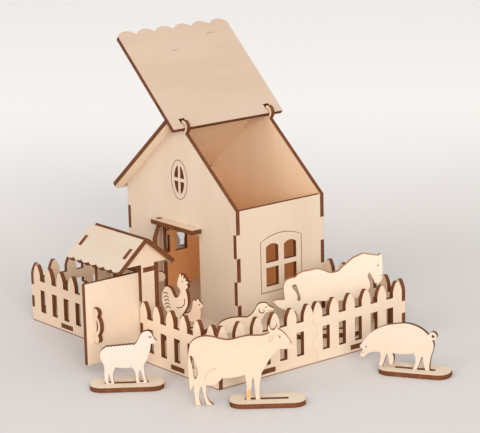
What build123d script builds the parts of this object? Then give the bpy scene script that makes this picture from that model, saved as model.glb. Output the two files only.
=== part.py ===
from build123d import *
import os
from math import asin, atan2, cos, degrees, hypot, radians, sin, sqrt, tan

os.makedirs("parts", exist_ok=True)

# A play farm cut from one thickness of plywood. Origin: the middle of the yard, on the ground.
# +Z is up, the gate side faces -Y, and the house's lid opens over its right (+X) slope.
ply = 3.8
slot_gap = 0.1            # play round a tab in its slot, on each side
swing_gap = 0.2           # air left beside a panel that swings

# Picket fence panels, all alike
picket_count = 6
picket_width = 9.8
picket_pitch = 17.2
fence_height = 49.8
notch_bottom = 36.8
shoulder_rise = 4.6       # straight side of a picket above the rail
picket_tip = 1.1
rail_bottom = 29.0
board_top = 9.6
lap_low, lap_middle, lap_high = 12.0, 22.0, 32.0

# Yard
gate_opening = 56.8
floor_lift = 2.8
floor_tab = 17.0

# House walls
house_width = 150.0
house_depth = 95.0
wall_height = 100.0
wall_fingers = 5
ridge_rise = 64.0
left_gap = 7.0            # between the left fence and the house
back_gap = 0.2            # between the house and the back fence
wall_tab = 14.0
gable_tab_spacing = 104.0
side_tab_spacing = 49.0
roof_tab = 35.5
roof_tab_from_ridge = 53.4

# Roof panels
roof_overhang = 11.5
left_eave = 3.4
scallop_count = 6
scallop_depth = 4.6

# Lid hinge: the bar at the lid's edge turns in the eye of a hook on each gable
lid_ridge_gap = 4.9
lid_bar = 5.0
lid_lift = 0.2            # under the closed lid
lid_rest_gap = 0.1        # between the open lid and the ridge that it leans on
hook_thickness = 2.4
hook_sweep = 128.0
eye_gap = 0.3
lid_slot = 4.9
lid_slot_side = 1.0

# Doorway, door leaf and canopy
door_width = 50.4
door_height = 70.2
canopy_width = 57.6
canopy_depth = 10.0
canopy_height = 73.6      # from the floor to the underside
canopy_tab = 12.0
canopy_tab_spacing = 30.0
leaf_overlap = 0.4
leaf_cover = 0.4
leaf_foot = 0.5
leaf_head = 0.4
leaf_wall_gap = 0.6       # between the front wall and the leaf's swing
house_door_open = 41.0    # as it stands, ajar
pin_gap = 0.15            # round a square pin's corners

# Windows in the side walls
right_window_from_front = 47.5
left_window_from_front = 44.2
window_sill = 25.4        # from the floor to the frame's lower line
frame_width = 44.7
frame_height = 44.0
frame_arch = 5.7
pane_width = 13.3
pane_height = 16.1
mullion = 6.2
transom = 4.2
pane_rise = 5.2           # from the frame's lower line to the lower panes
upper_pane_side = 13.3     # straight side of the arched upper panes
upper_pane_crown = 15.9
score_width = 0.6
score_depth = 0.4

# Attic window in the front gable
oval_width = 22.4
oval_height = 34.3
oval_above_eave = 14.7    # from the walls' top to the oval's middle
oval_pane_width = 13.4
oval_pane_height = 25.0
oval_bar = 3.2

# Gatehouse
post_depth = 16.5         # through the side plates and the back frame
lintel_height = 66.9      # from the floor to the lintel
sill_nose = 1.8           # of the sill and the lintel, in front of the fence
lintel_tenon = 10.7       # from the side plates' back edges
lintel_tab = 18.0         # through the back frame
back_leg = 7.6
back_beam = 7.4           # below the lintel
gate_setback = 2.6
gate_gable_rise = 2.8     # from the lintel to the gable's base
gate_half_span = 21.4
gate_ridge_back = 3.4     # from the fence's front face to the ridge
gate_roof_slope = 32.8
gate_roof_overhang = 3.8
gate_scallops = 7
gate_scallop_depth = 1.9
gate_roof_tab = 10.0
gate_roof_tab_from_ridge = 16.0
gate_ridge_gap = 0.1

# Pull handles
handle_edge = 8.7         # from a leaf's free edge to the handle's middle
handle_height = 21.8      # from the floor to the lower lobe's middle
handle_spacing = 21.2
lobe_radius = 3.4
lobe_reach = 6.8
bow_reach = 8.9
bow_foot = 4.4
bow_half = 8.2
bow_bar = 2.7
crescent_half = 5.2
crescent_waist = 1.7
handle_tenon = 5.0
knob_height = 38.0
knob_radius = 4.3
knob_reach = 5.2

# Play figures, each standing by its feet in a slotted base
base_length = 57.0
base_width = 25.0
base_corner = 10.0
small_base_length = 30.0
dog_base_length = 44.0
small_base_width = 14.0
small_base_corner = 6.0
figure_slot_gap = 0.15
figure_foot_gap = 0.2     # under the tabs and free feet
slot_spare = 1.0          # slot past the feet at each end
line_cut = 0.7            # width of the slits that draw feathers and limbs
eye_radius_cut = 0.55

# Places and heights that follow from the sizes above
floor_top = floor_lift + ply
panel_body = (picket_count - 1) * picket_pitch + picket_width
panel_length = panel_body + ply
yard_width = 2 * panel_length + gate_opening
yard_depth = 2 * panel_body + ply
yard_right = yard_width / 2
yard_back = yard_depth / 2
yard_front = -yard_back
gate_half = gate_opening / 2

house_left = -yard_right + ply + left_gap
house_right = house_left + house_width
house_middle = house_left + house_width / 2
house_back = yard_back - ply - back_gap
house_front = house_back - house_depth
eave_z = floor_top + wall_height
ridge_z = eave_z + ridge_rise
pitch = degrees(atan2(ridge_rise, house_width / 2))
run, rise = cos(radians(pitch)), sin(radians(pitch))
slope_length = hypot(house_width / 2, ridge_rise)
roof_length = house_depth + 2 * roof_overhang

lintel_z = floor_top + lintel_height
gate_base_z = lintel_z + ply + gate_gable_rise
gate_ridge_y = yard_front + gate_ridge_back
gate_ridge_z = gate_base_z + gate_half_span * rise / run
gate_roof_length = gate_opening + 2 * ply + 2 * gate_roof_overhang

pin_radius = ply / sqrt(2)
pin_hole = pin_radius + pin_gap
gate_pivot = (gate_half - pin_radius - swing_gap, yard_front + gate_setback)
gate_reach = gate_pivot[0] + gate_half - swing_gap
canopy_z = floor_top + canopy_height
door_left = house_middle - door_width / 2
door_pivot = (door_left - leaf_overlap, house_front - pin_radius - leaf_wall_gap)
door_reach = leaf_overlap + door_width + leaf_cover

# Lid hinge, measured from the ridge: along the right slope downwards, and out from it
hinge_down = lid_ridge_gap + lid_bar / 2
hinge_out = lid_lift + ply / 2
hinge_x = house_middle + hinge_down * run + hinge_out * rise
hinge_z = ridge_z - hinge_down * rise + hinge_out * run
eye_radius = hypot(lid_bar / 2, ply / 2) + eye_gap
hook_radius = eye_radius + hook_thickness
# The open lid leans on the left roof's upper corner
lean_along = ply * sin(radians(2 * pitch)) + hinge_down
lean_out = ply * cos(radians(2 * pitch)) - hinge_out
lean = degrees(
    atan2(lean_out, lean_along) + asin((ply / 2 + lid_rest_gap) / hypot(lean_along, lean_out))
)
lid_swing = 180 - lean
lid_length = slope_length + left_eave - lid_bar / 2

solids = []


def finish(piece, name):
    piece.part.label = name
    export_step(piece.part, "parts/" + name + ".step")
    solids.append(piece.part)


def upright(x, y, heading):
    """Vertical plane: local X runs along the heading (degrees from +X), local Y is up."""
    way = Vector(cos(radians(heading)), sin(radians(heading)), 0)
    return Plane(origin=(x, y, 0), x_dir=way, z_dir=way.cross(Vector(0, 0, 1)))


def block(left, right, low, high, mode=Mode.ADD):
    """Rectangle between four limits, in the open sketch."""
    with Locations(((left + right) / 2, (low + high) / 2)):
        Rectangle(right - left, high - low, mode=mode)


def scalloped(width, cusp, count, depth):
    """Panel from Y = 0 to a row of round scallops hanging past Y = cusp."""
    lobe = width / count
    with BuildLine() as edge:
        Polyline((-width / 2, cusp), (-width / 2, 0), (width / 2, 0), (width / 2, cusp))
        for k in range(count):
            start = -width / 2 + k * lobe
            ThreePointArc((start, cusp), (start + lobe / 2, cusp + depth), (start + lobe, cusp))
    make_face(edge.edges())


# Fence panels: local X starts at the end that the next panel's fingers lap
def fence_panel(name, plane, inward):
    with BuildPart() as panel:
        with BuildSketch(plane) as outline:
            block(0, panel_body, 0, notch_bottom)
            block(panel_body, panel_length, 0, lap_low)
            block(panel_body, panel_length, lap_middle, lap_high)
            block(0, ply, 0, lap_low, mode=Mode.SUBTRACT)
            block(0, ply, lap_middle, lap_high, mode=Mode.SUBTRACT)
            for k in range(picket_count):
                left = k * picket_pitch
                right = left + picket_width
                middle = (left + right) / 2
                shoulder = notch_bottom + shoulder_rise
                lean_in = 0.3 * picket_width
                bulge = shoulder + 0.66 * (fence_height - shoulder)
                with BuildLine():
                    Polyline((left, shoulder), (left, notch_bottom), (right, notch_bottom), (right, shoulder))
                    ThreePointArc((right, shoulder), (middle + lean_in, bulge), (middle + picket_tip, fence_height))
                    Line((middle + picket_tip, fence_height), (middle - picket_tip, fence_height))
                    ThreePointArc((middle - picket_tip, fence_height), (middle - lean_in, bulge), (left, shoulder))
                make_face()
            for k in range(picket_count - 1):
                gap = k * picket_pitch + picket_width
                block(gap, (k + 1) * picket_pitch, board_top, rail_bottom, mode=Mode.SUBTRACT)
            block(
                panel_body / 2 - floor_tab / 2 - slot_gap, panel_body / 2 + floor_tab / 2 + slot_gap,
                floor_lift - slot_gap, floor_top + slot_gap, mode=Mode.SUBTRACT,
            )
        extrude(amount=inward)
    finish(panel, name)


fence_panel("fence_front_right", upright(gate_half, yard_front, 0), -ply)
fence_panel("fence_front_left", upright(-gate_half, yard_front, 180), ply)
fence_panel("fence_right_front", upright(yard_right, yard_front, 90), -ply)
fence_panel("fence_right_back", upright(yard_right, yard_front + panel_body, 90), -ply)
fence_panel("fence_left_front", upright(-yard_right, yard_front, 90), ply)
fence_panel("fence_left_back", upright(-yard_right, yard_front + panel_body, 90), ply)
fence_panel("fence_back_right", upright(yard_right, yard_back, 180), -ply)
fence_panel("fence_back_left", upright(-yard_right, yard_back, 0), ply)

# Yard floor: tabs through the fence, slots for the posts and walls, and the gate's sill
floor_right = yard_right - ply
floor_back = yard_back - ply
front_tab_x = gate_half + panel_body / 2
back_tab_x = yard_right - panel_body / 2
side_tab_y = (yard_front + panel_body / 2, yard_front + 3 * panel_body / 2)
with BuildPart() as yard_floor:
    with BuildSketch(Plane.XY.offset(floor_lift)) as floor_outline:
        block(-floor_right, floor_right, -floor_back, floor_back)
        block(-gate_half + slot_gap, gate_half - slot_gap, yard_front - sill_nose, -floor_back)
        for side in (-1, 1):
            with Locations((side * front_tab_x, yard_front + ply / 2), (side * back_tab_x, yard_back - ply / 2)):
                Rectangle(floor_tab, ply)
            with Locations([(side * (yard_right - ply / 2), y) for y in side_tab_y]):
                Rectangle(ply, floor_tab)
            with Locations((side * (gate_half + ply / 2), yard_front + (post_depth + slot_gap) / 2)):
                Rectangle(ply + 2 * slot_gap, post_depth + slot_gap, mode=Mode.SUBTRACT)
        for y in (house_front + ply / 2, house_back - ply / 2):
            with Locations((house_middle, y)):
                with GridLocations(gable_tab_spacing, 1, 2, 1):
                    Rectangle(wall_tab + 2 * slot_gap, ply + 2 * slot_gap, mode=Mode.SUBTRACT)
        for x in (house_left + ply / 2, house_right - ply / 2):
            with Locations((x, house_front + house_depth / 2)):
                with GridLocations(1, side_tab_spacing, 1, 2):
                    Rectangle(ply + 2 * slot_gap, wall_tab + 2 * slot_gap, mode=Mode.SUBTRACT)
        with Locations(gate_pivot, door_pivot):
            Circle(pin_hole, mode=Mode.SUBTRACT)
    extrude(amount=ply)
finish(yard_floor, "yard_floor")


# House walls, finger-jointed at the corners
def slope_point(down, out):
    """Point on the right slope in a gable's plane: down from the ridge, out from the slope."""
    return (down * run + out * rise, ridge_z - down * rise + out * run)


def hinge_point(radius, angle):
    """Point round the hinge: 0 is up the right slope, 90 is straight out from it."""
    along, out = radius * cos(radians(angle)), radius * sin(radians(angle))
    return slope_point(hinge_down - along, hinge_out + out)


def polygon(*points):
    """Straight-sided face in the open sketch."""
    with BuildLine() as edge:
        Polyline(*points, close=True)
    make_face(edge.edges())


def gable_outline():
    half = house_width / 2
    finger = wall_height / wall_fingers
    polygon((-half, floor_top), (half, floor_top), (half, eave_z), (0, ridge_z), (-half, eave_z))
    for k in range(1, wall_fingers, 2):
        high = eave_z - k * finger
        block(-half, -half + ply, high - finger, high, mode=Mode.SUBTRACT)
        block(half - ply, half, high - finger, high, mode=Mode.SUBTRACT)
    with Locations((0, floor_top - ply / 2)):
        with GridLocations(gable_tab_spacing, 1, 2, 1):
            Rectangle(wall_tab, ply)
    tab_near = roof_tab_from_ridge - roof_tab / 2
    tab_far = roof_tab_from_ridge + roof_tab / 2
    corners = [slope_point(down, out) for down in (tab_near, tab_far) for out in (-ply, ply)]
    polygon(*[(-corners[k][0], corners[k][1]) for k in (0, 1, 3, 2)])
    with Locations(hinge_point(0, 0)):
        Circle(eye_radius, mode=Mode.SUBTRACT)
    tip = 180 - hook_sweep
    middle = 180 - hook_sweep / 2
    tip_round = degrees(hook_thickness / 2 / (eye_radius + hook_thickness / 2))
    with BuildLine() as hook:
        ThreePointArc(hinge_point(hook_radius, 180), hinge_point(hook_radius, middle), hinge_point(hook_radius, tip))
        ThreePointArc(
            hinge_point(hook_radius, tip), hinge_point((eye_radius + hook_radius) / 2, tip - tip_round),
            hinge_point(eye_radius, tip),
        )
        ThreePointArc(hinge_point(eye_radius, tip), hinge_point(eye_radius, middle), hinge_point(eye_radius, 180))
        Polyline(
            hinge_point(eye_radius, 180), slope_point(hinge_down + eye_radius, -hook_thickness),
            slope_point(hinge_down + hook_radius, -hook_thickness), hinge_point(hook_radius, 180),
        )
    make_face(hook.edges())


front_plane = upright(house_middle, house_front, 0)
with BuildPart() as front_gable_wall:
    with BuildSketch(front_plane) as front_outline:
        gable_outline()
        block(-door_width / 2, door_width / 2, floor_top, floor_top + door_height, mode=Mode.SUBTRACT)
        with Locations((0, canopy_z + ply / 2)):
            with GridLocations(canopy_tab_spacing, 1, 2, 1):
                Rectangle(canopy_tab + 2 * slot_gap, ply + 2 * slot_gap, mode=Mode.SUBTRACT)
    extrude(amount=-ply)
    with BuildSketch(front_plane) as attic_panes:
        with Locations((0, eave_z + oval_above_eave)):
            Ellipse(oval_pane_width / 2, oval_pane_height / 2)
            Rectangle(oval_bar, oval_pane_height, mode=Mode.SUBTRACT)
            Rectangle(oval_pane_width, oval_bar, mode=Mode.SUBTRACT)
    extrude(amount=-ply, mode=Mode.SUBTRACT)
    with BuildSketch(front_plane) as attic_score:
        with Locations((0, eave_z + oval_above_eave)):
            Ellipse(oval_width / 2, oval_height / 2)
            Ellipse(oval_width / 2 - score_width, oval_height / 2 - score_width, mode=Mode.SUBTRACT)
    extrude(amount=-score_depth, mode=Mode.SUBTRACT)
finish(front_gable_wall, "front_gable_wall")

with BuildPart() as back_gable_wall:
    with BuildSketch(upright(house_middle, house_back, 0)) as back_outline:
        gable_outline()
    extrude(amount=ply)
finish(back_gable_wall, "back_gable_wall")


def arched(left, right, low, left_head, crown, right_head, mode=Mode.ADD):
    """Light with a flat foot and a curved head, through its crown midway."""
    with BuildLine() as edge:
        Polyline((left, left_head), (left, low), (right, low), (right, right_head))
        ThreePointArc((right, right_head), ((left + right) / 2, crown), (left, left_head))
    make_face(edge.edges(), mode=mode)


def side_wall(name, outer_x, inward, window_middle):
    outer = upright(outer_x, house_front, 90)
    finger = wall_height / wall_fingers
    sill = floor_top + window_sill
    head = sill + frame_height
    low = sill + pane_rise
    foot = low + pane_height + transom
    with BuildPart() as wall:
        with BuildSketch(outer) as wall_outline:
            block(0, house_depth, floor_top, eave_z)
            for k in range(0, wall_fingers, 2):
                high = eave_z - k * finger
                block(0, ply, high - finger, high, mode=Mode.SUBTRACT)
                block(house_depth - ply, house_depth, high - finger, high, mode=Mode.SUBTRACT)
            with Locations((house_depth / 2, floor_top - ply / 2)):
                with GridLocations(side_tab_spacing, 1, 2, 1):
                    Rectangle(wall_tab, ply)
            for side in (-1, 1):
                near = window_middle + side * mullion / 2
                far = near + side * pane_width
                left, right = min(near, far), max(near, far)
                block(left, right, low, low + pane_height, mode=Mode.SUBTRACT)
                head_z = foot + upper_pane_side
                arched(left, right, foot, head_z, foot + upper_pane_crown, head_z, mode=Mode.SUBTRACT)
        extrude(amount=inward)
        with BuildSketch(outer) as frame_score:
            left = window_middle - frame_width / 2
            right = window_middle + frame_width / 2
            arched(left, right, sill, head, head + frame_arch, head)
            arched(
                left + score_width, right - score_width, sill + score_width, head, head + frame_arch - score_width,
                head, mode=Mode.SUBTRACT,
            )
        extrude(amount=score_depth if inward > 0 else -score_depth, mode=Mode.SUBTRACT)
    finish(wall, name)


side_wall("right_side_wall", house_right, -ply, right_window_from_front)
side_wall("left_side_wall", house_left, ply, left_window_from_front)

# Left roof: from the ridge down the left slope, pinned on the gables' tabs
roof_middle_y = house_front + house_depth / 2
left_slope = Plane(origin=(house_middle, roof_middle_y, ridge_z), x_dir=(0, 1, 0), z_dir=(-rise, 0, run))
with BuildPart() as left_roof_panel:
    with BuildSketch(left_slope) as left_roof_outline:
        scalloped(roof_length, slope_length + left_eave, scallop_count, scallop_depth)
        with Locations((0, roof_tab_from_ridge)):
            with GridLocations(house_depth - ply, 1, 2, 1):
                Rectangle(ply + 2 * slot_gap, roof_tab + 2 * slot_gap, mode=Mode.SUBTRACT)
    extrude(amount=ply)
finish(left_roof_panel, "left_roof_panel")

# Lid: stands open, leaning back past the ridge; local Y runs from the hinge bar to the scallops
lid_angle = radians(180 - pitch - lean)
lid_plane = Plane(
    origin=(hinge_x, roof_middle_y, hinge_z), x_dir=(0, 1, 0), z_dir=(sin(lid_angle), 0, -cos(lid_angle))
)
with BuildPart() as roof_lid:
    with BuildSketch(lid_plane) as lid_outline:
        scalloped(roof_length, lid_length, scallop_count, scallop_depth)
        block(-roof_length / 2, roof_length / 2, -lid_bar / 2, 0)
        with Locations((0, lid_bar / 2 + lid_slot / 2)):
            with GridLocations(house_depth - ply, 1, 2, 1):
                Rectangle(ply + 2 * lid_slot_side, lid_slot, mode=Mode.SUBTRACT)
    extrude(amount=ply / 2, both=True)
finish(roof_lid, "roof_lid")

# Canopy over the doorway, with tabs through the front wall and the door's upper pin hole
with BuildPart() as door_canopy:
    with BuildSketch(Plane.XY.offset(canopy_z)) as canopy_outline:
        with Locations((house_middle, house_front - canopy_depth / 2)):
            Rectangle(canopy_width, canopy_depth)
        with Locations((house_middle, house_front + ply / 2)):
            with GridLocations(canopy_tab_spacing, 1, 2, 1):
                Rectangle(canopy_tab, ply)
        with Locations(door_pivot):
            Circle(pin_hole, mode=Mode.SUBTRACT)
    extrude(amount=ply)
finish(door_canopy, "door_canopy")


# Door leaves turn on square pins at their hinge edge, between the floor and what is above
def door_leaf(name, pivot, heading, reach, low, high, pin_top, mortise_along, mortise_heights):
    with BuildPart() as leaf:
        with BuildSketch(upright(pivot[0], pivot[1], heading)) as leaf_outline:
            block(-ply / 2, reach, low, high)
            block(-ply / 2, ply / 2, floor_lift, low)
            block(-ply / 2, ply / 2, high, pin_top)
            for height in mortise_heights:
                with Locations((mortise_along, height)):
                    Rectangle(ply + 2 * slot_gap, handle_tenon + 2 * slot_gap, mode=Mode.SUBTRACT)
        extrude(amount=ply / 2, both=True)
    finish(leaf, name)


def on_leaf(pivot, heading, along, face_heading):
    """Plane across a leaf at its handle: local X starts at the leaf's middle, out of one face."""
    return upright(
        pivot[0] + along * cos(radians(heading)), pivot[1] + along * sin(radians(heading)), face_heading
    )


house_leaf_heading = -house_door_open
knob_along = door_reach - handle_edge
door_leaf(
    "house_door", door_pivot, house_leaf_heading, door_reach, floor_top + leaf_foot, canopy_z - leaf_head,
    canopy_z + ply, knob_along, [floor_top + knob_height],
)
with BuildPart() as door_knob:
    with BuildSketch(on_leaf(door_pivot, house_leaf_heading, knob_along, house_leaf_heading + 90)) as knob_outline:
        block(-ply / 2, ply / 2, floor_top + knob_height - handle_tenon / 2, floor_top + knob_height + handle_tenon / 2)
        with BuildLine():
            Polyline(
                (knob_reach + ply / 2 - knob_radius, floor_top + knob_height + knob_radius),
                (ply / 2, floor_top + knob_height + knob_radius),
                (ply / 2, floor_top + knob_height - knob_radius),
                (knob_reach + ply / 2 - knob_radius, floor_top + knob_height - knob_radius),
            )
            ThreePointArc(
                (knob_reach + ply / 2 - knob_radius, floor_top + knob_height - knob_radius),
                (knob_reach + ply / 2, floor_top + knob_height),
                (knob_reach + ply / 2 - knob_radius, floor_top + knob_height + knob_radius),
            )
        make_face()
    extrude(amount=ply / 2, both=True)
finish(door_knob, "door_knob")

gate_leaf_heading = -90
handle_along = gate_reach - handle_edge
lobe_low = floor_top + handle_height
lobe_high = lobe_low + handle_spacing
door_leaf(
    "gate_door", gate_pivot, gate_leaf_heading, gate_reach, floor_top + leaf_foot, lintel_z - leaf_head,
    lintel_z + ply, handle_along, [lobe_low, lobe_high],
)
with BuildPart() as gate_handle:
    with BuildSketch(on_leaf(gate_pivot, gate_leaf_heading, handle_along, 0)) as handle_outline:
        face = ply / 2
        middle = (lobe_low + lobe_high) / 2
        for height in (lobe_low, lobe_high):
            block(-face, face, height - handle_tenon / 2, height + handle_tenon / 2)
            block(face, face + lobe_reach - lobe_radius, height - lobe_radius, height + lobe_radius)
            with Locations((face + lobe_reach - lobe_radius, height)):
                Circle(lobe_radius)
        with BuildLine() as bow:
            Polyline(
                (face + bow_foot, middle + bow_half), (face, middle + bow_half), (face, middle - bow_half),
                (face + bow_foot, middle - bow_half),
            )
            ThreePointArc(
                (face + bow_foot, middle - bow_half), (face + bow_reach, middle), (face + bow_foot, middle + bow_half)
            )
        make_face(bow.edges())
        inner = face + bow_reach - bow_bar
        with BuildLine() as crescent:
            tips = [(inner - 1.6 * crescent_waist, middle + way * crescent_half) for way in (-1, 1)]
            ThreePointArc(tips[0], (inner, middle), tips[1])
            ThreePointArc(tips[1], (inner - crescent_waist, middle), tips[0])
        make_face(crescent.edges(), mode=Mode.SUBTRACT)
    extrude(amount=ply / 2, both=True)
finish(gate_handle, "gate_handle")


# Gatehouse: two side plates rise through the fence's front corners and carry a small roof. The lintel
# slides in from behind, and the back frame closes its notches.
side_back = yard_front + post_depth - ply


def gate_side(name, outer_x, inward):
    with BuildPart() as side_plate:
        with BuildSketch(upright(outer_x, 0, 90)) as side_outline:
            block(yard_front, side_back, 0, gate_base_z)
            block(yard_front, yard_front + ply, lap_low, lap_middle, mode=Mode.SUBTRACT)
            block(yard_front, yard_front + ply, lap_high, fence_height, mode=Mode.SUBTRACT)
            polygon(
                (gate_ridge_y - gate_half_span, gate_base_z), (gate_ridge_y + gate_half_span, gate_base_z),
                (gate_ridge_y, gate_ridge_z),
            )
            near = gate_roof_tab_from_ridge - gate_roof_tab / 2
            far = gate_roof_tab_from_ridge + gate_roof_tab / 2
            for way in (-1, 1):
                corners = [(near, -ply), (far, -ply), (far, ply), (near, ply)]
                polygon(*[
                    (gate_ridge_y + way * (down * run + out * rise), gate_ridge_z - down * rise + out * run)
                    for down, out in corners
                ])
            block(
                side_back - lintel_tenon - slot_gap, side_back, lintel_z - slot_gap, lintel_z + ply + slot_gap,
                mode=Mode.SUBTRACT,
            )
        extrude(amount=inward)
    finish(side_plate, name)


gate_side("gate_side_right", gate_half + ply, -ply)
gate_side("gate_side_left", -gate_half - ply, ply)

with BuildPart() as gate_lintel:
    with BuildSketch(Plane.XY.offset(lintel_z)) as lintel_outline:
        block(-gate_half, gate_half, yard_front - sill_nose, side_back)
        block(-gate_half - ply, gate_half + ply, side_back - lintel_tenon, side_back)
        block(-lintel_tab / 2, lintel_tab / 2, side_back, side_back + ply)
        with Locations(gate_pivot):
            Circle(pin_hole, mode=Mode.SUBTRACT)
    extrude(amount=ply)
finish(gate_lintel, "gate_lintel")

with BuildPart() as gate_back_frame:
    with BuildSketch(upright(0, side_back, 0)) as back_frame_outline:
        outer = gate_half + ply
        beam_z = lintel_z - back_beam
        block(-outer, outer, beam_z, gate_base_z)
        for left in (-outer, outer - back_leg):
            block(left, left + back_leg, floor_top, beam_z)
        for left in (-outer, gate_half):
            block(left, left + ply, 0, floor_top)
        block(
            -lintel_tab / 2 - slot_gap, lintel_tab / 2 + slot_gap, lintel_z - slot_gap, lintel_z + ply + slot_gap,
            mode=Mode.SUBTRACT,
        )
    extrude(amount=-ply)
finish(gate_back_frame, "gate_back_frame")


def gate_roof(name, way):
    """One slope of the gatehouse roof; way is -1 for the front slope and 1 for the back one."""
    slope = Plane(
        origin=(0, gate_ridge_y, gate_ridge_z), x_dir=(way, 0, 0), z_dir=(0, way * rise, run)
    )
    with BuildPart() as roof:
        with BuildSketch(slope) as roof_outline:
            scalloped(gate_roof_length, gate_roof_slope, gate_scallops, gate_scallop_depth)
            block(-gate_roof_length / 2, gate_roof_length / 2, 0, gate_ridge_gap, mode=Mode.SUBTRACT)
            with Locations((0, gate_roof_tab_from_ridge)):
                with GridLocations(gate_opening + ply, 1, 2, 1):
                    Rectangle(ply + 2 * slot_gap, gate_roof_tab + 2 * slot_gap, mode=Mode.SUBTRACT)
        extrude(amount=ply)
    finish(roof, name)


gate_roof("gate_roof_front", -1)
gate_roof("gate_roof_back", 1)


def outline_face(runs):
    """Face inside a chain of runs: two points make a line, more make a smooth curve."""
    with BuildLine() as edge:
        for run_points in runs:
            if len(run_points) == 2:
                Line(*run_points)
            else:
                Spline(*run_points)
    make_face(edge.edges())


def slit(*path):
    """Thin cut along a curve, through the plate."""
    with BuildLine() as middle:
        Spline(*path)
    trace(middle.edges(), line_width=line_cut, mode=Mode.SUBTRACT)


def gap(path):
    """Opening with a smooth closed rim."""
    with BuildLine() as rim:
        Spline(*path, periodic=True)
    make_face(rim.edges(), mode=Mode.SUBTRACT)


def wool(start, end, count, swell):
    """Row of small arcs from start to end, swelling to the left of the way along."""
    step = ((end[0] - start[0]) / count, (end[1] - start[1]) / count)
    size = hypot(*step)
    arcs = []
    for k in range(count):
        a = (start[0] + k * step[0], start[1] + k * step[1])
        b = (a[0] + step[0], a[1] + step[1])
        top = ((a[0] + b[0]) / 2 - swell * step[1] / size, (a[1] + b[1]) / 2 + swell * step[0] / size)
        arcs.append([a, top, b])
    return arcs


def figure(name, x, y, ground, heading, runs, tabs, eye, slits=(), holes=(), rings=(), gaps=()):
    """Flat figure; its outline is drawn from the base's underside, at the figure's own origin."""
    with BuildPart() as shape:
        with BuildSketch(upright(x, y, heading)) as silhouette:
            with Locations((0, ground)):
                add(figure_sketch(runs, tabs, eye, slits, holes, rings, gaps))
        extrude(amount=ply / 2, both=True)
    finish(shape, name)


def figure_sketch(runs, tabs, eye, slits, holes, rings, gaps):
    with BuildSketch() as flat:
        outline_face(runs)
        for left, right in tabs:
            block(left, right, figure_foot_gap, ply + 0.6)
        for center, radius in rings:
            with Locations(center):
                Circle(radius)
        for center, radius in holes:
            with Locations(center):
                Circle(radius, mode=Mode.SUBTRACT)
        with Locations(eye):
            Circle(eye_radius_cut, mode=Mode.SUBTRACT)
        for path in slits:
            slit(*path)
        for path in gaps:
            gap(path)
    return flat.sketch


def figure_base(name, x, y, ground, heading, middle, tabs, length, width, corner):
    """Rounded base under a figure; its middle lies that far along the figure's plane."""
    with BuildPart() as base:
        with BuildSketch(Plane(origin=(x, y, ground), x_dir=upright(x, y, heading).x_dir, z_dir=(0, 0, 1))):
            with Locations((middle, 0)):
                RectangleRounded(length, width, corner)
            block(
                min(tabs[0]) - slot_spare, max(tabs[-1]) + slot_spare,
                -ply / 2 - figure_slot_gap, ply / 2 + figure_slot_gap, mode=Mode.SUBTRACT,
            )
        extrude(amount=ply)
    finish(base, name)


# Sheep, in front of the gate
sheep_runs = [
    [(-16.0, 3.8), (-17.2, 9.0), (-17.0, 14.5), (-17.6, 19.5), (-19.6, 23.6), (-19.9, 27.6), (-15.6, 32.8)],
    *wool((-15.6, 32.8), (5.5, 34.2), 9, 0.8),
    [(5.5, 34.2), (8.6, 36.6), (10.4, 40.3), (12.4, 43.4), (15.8, 45.0), (18.9, 44.4)],
    [(18.9, 44.4), (20.5, 41.9), (21.9, 39.0), (23.9, 37.1)],
    [(23.9, 37.1), (23.0, 35.6), (21.2, 34.9), (19.2, 34.7)],
    [(19.2, 34.7), (18.7, 31.0), (17.8, 27.0), (16.0, 22.6), (13.4, 18.4)],
    [(13.4, 18.4), (13.8, 11.0), (15.5, 3.8)],
    [(15.5, 3.8), (12.9, 3.8)],
    [(12.9, 3.8), (12.0, 9.5), (10.6, 13.9)],
    [(10.6, 13.9), (9.6, 13.7)],
    [(9.6, 13.7), (9.1, 9.0), (9.9, 3.8)],
    [(9.9, 3.8), (7.2, 3.8)],
    [(7.2, 3.8), (6.9, 9.5), (5.8, 13.9), (3.8, 16.4)],
    [(3.8, 16.4), (-2.0, 15.9), (-8.0, 16.8)],
    [(-8.0, 16.8), (-10.0, 13.8), (-10.6, 10.0), (-9.8, 3.8)],
    [(-9.8, 3.8), (-11.9, 3.8)],
    [(-11.9, 3.8), (-12.6, 7.8), (-13.0, 11.2)],
    [(-13.0, 11.2), (-13.8, 11.0)],
    [(-13.8, 11.0), (-14.2, 8.0), (-13.8, 3.8)],
    [(-13.8, 3.8), (-16.0, 3.8)],
]
sheep_tabs = [(-16.0, -9.8), (7.2, 15.5)]
figure("sheep", 73.6, yard_front - 46.9, 0, 53, sheep_runs, sheep_tabs, (18.8, 40.0))
figure_base(
    "sheep_base", 73.6, yard_front - 46.9, 0, 53, 0, sheep_tabs, base_length, base_width, base_corner
)

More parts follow.
